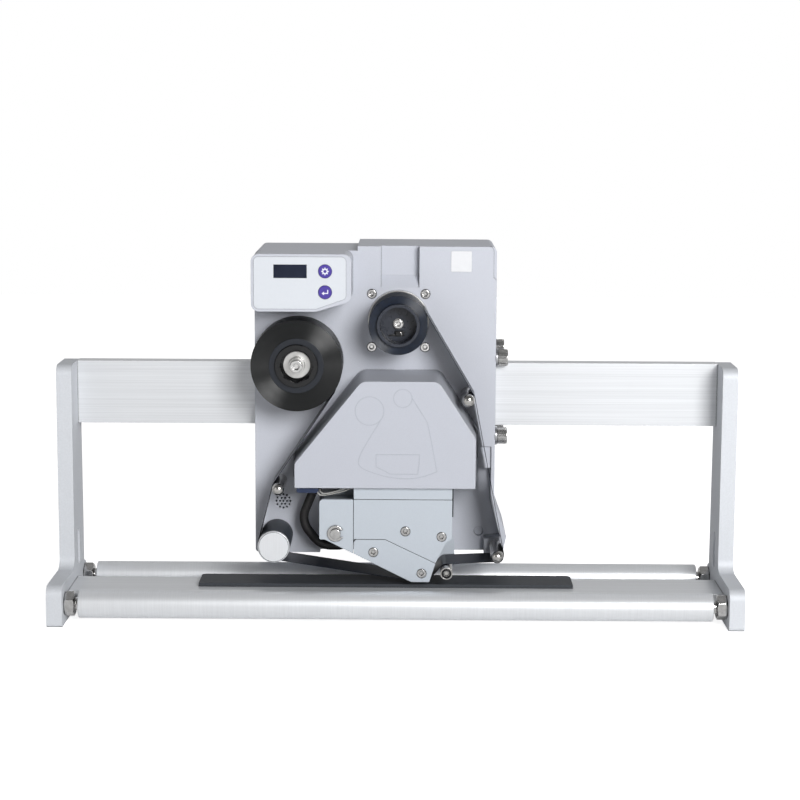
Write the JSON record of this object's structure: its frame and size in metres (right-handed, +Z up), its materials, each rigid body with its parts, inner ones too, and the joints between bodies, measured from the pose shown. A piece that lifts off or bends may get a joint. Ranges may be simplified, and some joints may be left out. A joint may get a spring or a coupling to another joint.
{
  "type": "thermal transfer date coder",
  "caption": "Ribbon date coder on a bench frame: a housing slides along a crossbar, carries ribbon reels, guide rollers and a pivoting print head, and prints film that runs over idler rollers.",
  "frame": {"origin": "on the floor below the centre of the whole machine", "axes": "+X along the crossbar to the right seen from the front, +Y to the back, +Z up"},
  "size_m": [0.534, 0.167, 0.2872],
  "materials": {
    "frame_aluminium": "satin",
    "steel": "bright",
    "polished_metal": "polished",
    "rubber": "matte",
    "housing_grey": "satin",
    "head_grey": "satin",
    "head_element": "satin",
    "overlay_white": "satin film",
    "display_dark": "gloss",
    "button_purple": "satin",
    "ribbon_black": "gloss",
    "hub_black": "satin",
    "cable_black": "satin sleeve"
  },
  "bodies": {
    "frame": {"left_side_plate": "frame_aluminium", "right_side_plate": "frame_aluminium", "crossbar": "frame_aluminium", "base_plate": "frame_aluminium", "frame_screws": "steel", "platen_pad": "rubber", "front_axle": "steel", "rear_axle": "steel", "front_axle_nuts": "steel", "rear_axle_nuts": "steel"},
    "front_roller": {"front_roller": "frame_aluminium", "front_bearings": "steel"},
    "rear_roller": {"rear_roller": "frame_aluminium", "rear_bearings": "steel"},
    "printer": {"housing": "housing_grey", "take_up_screws": "steel", "side_screws": "steel", "side_washers": "steel", "back_plate": "housing_grey", "back_plate_screws": "steel", "clamp_screws": "steel", "control_panel": "housing_grey", "panel_overlay": "overlay_white", "display_window": "display_dark", "ribbon_cover": "housing_grey", "guide_pins": "steel", "head_rail": "steel", "ribbon_left": "ribbon_black", "ribbon_lower": "ribbon_black", "ribbon_head": "ribbon_black", "ribbon_return": "ribbon_black", "ribbon_right": "ribbon_black", "head_cable": "cable_black"},
    "supply_reel": {"supply_spindle": "polished_metal", "supply_screw": "steel", "supply_hub": "hub_black", "supply_ribbon": "ribbon_black"},
    "take_up_reel": {"take_up_spindle": "polished_metal", "take_up_screw": "steel", "take_up_hub": "hub_black", "take_up_ribbon": "ribbon_black"},
    "drive_roller": {"drive_roller_core": "polished_metal", "drive_roller_sleeve": "rubber"},
    "left_guide": {"left_guide_roller": "polished_metal"},
    "right_guide": {"right_guide_roller": "polished_metal"},
    "lower_guide": {"lower_guide_roller": "polished_metal"},
    "head_carriage": {"head_carriage": "head_grey", "pivot_pin": "steel", "retaining_ring": "steel", "peel_axle": "steel"},
    "peel_roller": {"peel_roller": "polished_metal"},
    "print_head": {"arm_plate": "head_grey", "main_plate": "head_grey", "lower_plate": "head_grey", "head_screws": "steel", "head_lever": "head_grey", "thermal_head": "head_element"},
    "gear_button": {"gear_button": "button_purple"},
    "enter_button": {"enter_button": "button_purple"}
  },
  "joints": [
    {"name": "front_roller_spin", "type": "hinge", "parent": "frame", "child": "front_roller", "pos_m": [0, -0.067, 0.0152], "axis": [1, 0, 0], "continuous": true},
    {"name": "rear_roller_spin", "type": "hinge", "parent": "frame", "child": "rear_roller", "pos_m": [0, 0.031, 0.0152], "axis": [1, 0, 0], "continuous": true},
    {"name": "printer_slide", "type": "slide", "parent": "frame", "child": "printer", "axis": [1, 0, 0], "range_m": [-0.135, 0.16]},
    {"name": "supply_spin", "type": "hinge", "parent": "printer", "child": "supply_reel", "pos_m": [-0.0778, -0.0205, 0.197], "axis": [0, 1, 0], "continuous": true},
    {"name": "take_up_spin", "type": "hinge", "parent": "printer", "child": "take_up_reel", "pos_m": [0.0008, -0.0205, 0.2288], "axis": [0, 1, 0], "continuous": true},
    {"name": "drive_spin", "type": "hinge", "parent": "printer", "child": "drive_roller", "pos_m": [-0.095, -0.0205, 0.057], "axis": [0, 1, 0], "continuous": true},
    {"name": "left_guide_spin", "type": "hinge", "parent": "printer", "child": "left_guide", "pos_m": [-0.0918, -0.0205, 0.1013], "axis": [0, 1, 0], "continuous": true},
    {"name": "right_guide_spin", "type": "hinge", "parent": "printer", "child": "right_guide", "pos_m": [0.0552, -0.0205, 0.1717], "axis": [0, 1, 0], "continuous": true},
    {"name": "lower_guide_spin", "type": "hinge", "parent": "printer", "child": "lower_guide", "pos_m": [0.0789, -0.0205, 0.0487], "axis": [0, 1, 0], "continuous": true},
    {"name": "carriage_slide", "type": "slide", "parent": "printer", "child": "head_carriage", "axis": [1, 0, 0], "range_m": [-0.02, 0], "deforming": ["ribbon_lower", "ribbon_head", "ribbon_return", "head_cable"]},
    {"name": "head_tilt", "type": "hinge", "parent": "head_carriage", "child": "print_head", "pos_m": [-0.0472, -0.0205, 0.0667], "axis": [0, 1, 0], "range_deg": [0, 2.4], "stiffness_Nm_per_rad": 6, "springref_deg": -4.58, "deforming": ["ribbon_lower", "ribbon_head", "head_cable"]},
    {"name": "peel_spin", "type": "hinge", "parent": "head_carriage", "child": "peel_roller", "pos_m": [0.0394, -0.0205, 0.0358], "axis": [0, 1, 0], "continuous": true},
    {"name": "gear_button_press", "type": "slide", "parent": "printer", "child": "gear_button", "axis": [0, 1, 0], "range_m": [0, 0.0005], "stiffness_N_per_m": 3000, "springref_m": -0.0003},
    {"name": "enter_button_press", "type": "slide", "parent": "printer", "child": "enter_button", "axis": [0, 1, 0], "range_m": [0, 0.0005], "stiffness_N_per_m": 3000, "springref_m": -0.0003}
  ],
  "couplings": [
    {"joint": "left_guide_spin", "follows": "drive_spin", "ratio": 2.5},
    {"joint": "right_guide_spin", "follows": "drive_spin", "ratio": 2.3636},
    {"joint": "lower_guide_spin", "follows": "drive_spin", "ratio": 2.3214},
    {"joint": "peel_spin", "follows": "drive_spin", "ratio": -2.4299}
  ]
}
